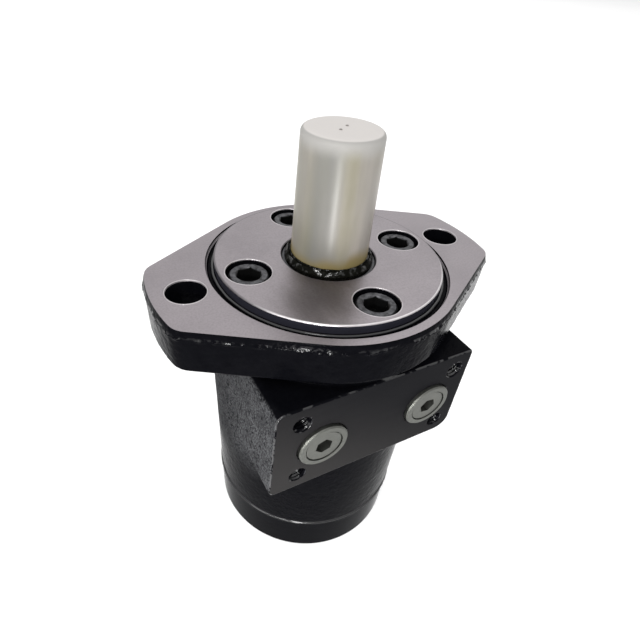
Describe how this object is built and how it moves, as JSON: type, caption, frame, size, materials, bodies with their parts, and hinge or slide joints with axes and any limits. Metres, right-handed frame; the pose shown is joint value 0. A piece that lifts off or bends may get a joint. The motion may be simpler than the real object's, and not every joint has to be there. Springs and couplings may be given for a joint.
{
  "type": "hydraulic motor",
  "caption": "Orbital hydraulic motor with a two-hole pilot flange, face ports with plugs, keyed output shaft under a plastic protector, and a round cast body.",
  "frame": {"origin": "centre of the mounting face, on the shaft's axis, in the plane that seats on the customer's bracket", "axes": "+Z along the shaft towards its free end, +X through the two mounting holes, ports face -Y"},
  "size_m": [0.131, 0.0962, 0.1812],
  "materials": {
    "machined_steel": "machined, fine turning marks",
    "black_oxide": "black oxide, satin",
    "black_paint": "gloss black paint on casting",
    "zinc": "pale zinc plate",
    "rubber": "oily black rubber",
    "ground_steel": "ground",
    "cap_plastic": "milky translucent",
    "seal_fibre": "bronze-filled ring"
  },
  "bodies": {
    "motor_body": {"front_cover": "machined_steel", "cover_screws": "black_oxide", "dust_seal": "rubber", "shaft_seal": "rubber", "seal_backup_ring": "seal_fibre", "cover_o_ring": "rubber", "thrust_washer": "ground_steel", "housing": "black_paint", "port_plug_a": "zinc", "port_plug_b": "zinc", "port_seal_rings": "rubber", "drain_plug": "zinc", "drain_washer": "zinc", "housing_o_ring": "rubber", "spacer_plate": "black_paint", "plate_o_ring": "rubber", "gerotor_ring": "black_paint", "end_cover_o_ring": "rubber", "end_cover": "black_paint", "end_screws": "black_oxide", "end_screw_washers": "zinc"},
    "shaft": {"output_shaft": "ground_steel"},
    "shaft_protector": {"shaft_cap": "cap_plastic"},
    "thrust_bearing": {"thrust_bearing_cage": "ground_steel", "thrust_bearing_rollers": "ground_steel"},
    "star_orbiter": {"link_spacer": "ground_steel"},
    "star": {"gerotor_star": "ground_steel"},
    "link": {"drive_link": "ground_steel"}
  },
  "joints": [
    {"name": "shaft_spin", "type": "hinge", "parent": "motor_body", "child": "shaft", "pos_m": [0, 0, 0], "axis": [0, 0, 1], "continuous": true},
    {"name": "protector_pull", "type": "slide", "parent": "shaft", "child": "shaft_protector", "axis": [0, 0, 1], "range_m": [0, 0.1]},
    {"name": "bearing_spin", "type": "hinge", "parent": "motor_body", "child": "thrust_bearing", "pos_m": [0, 0, 0], "axis": [0, 0, 1], "continuous": true},
    {"name": "star_orbit", "type": "hinge", "parent": "motor_body", "child": "star_orbiter", "pos_m": [0, 0, 0], "axis": [0, 0, 1], "continuous": true},
    {"name": "star_spin", "type": "hinge", "parent": "star_orbiter", "child": "star", "pos_m": [0.0026, 0, -0.12075], "axis": [0, 0, 1], "continuous": true},
    {"name": "link_spin", "type": "hinge", "parent": "star_orbiter", "child": "link", "pos_m": [0.0026, 0, -0.12075], "axis": [-0.0442, 0, 0.999], "continuous": true}
  ],
  "couplings": [
    {"joint": "bearing_spin", "follows": "shaft_spin", "ratio": 0.5},
    {"joint": "star_orbit", "follows": "shaft_spin", "ratio": -6},
    {"joint": "star_spin", "follows": "shaft_spin", "ratio": 7},
    {"joint": "link_spin", "follows": "shaft_spin", "ratio": 7}
  ]
}
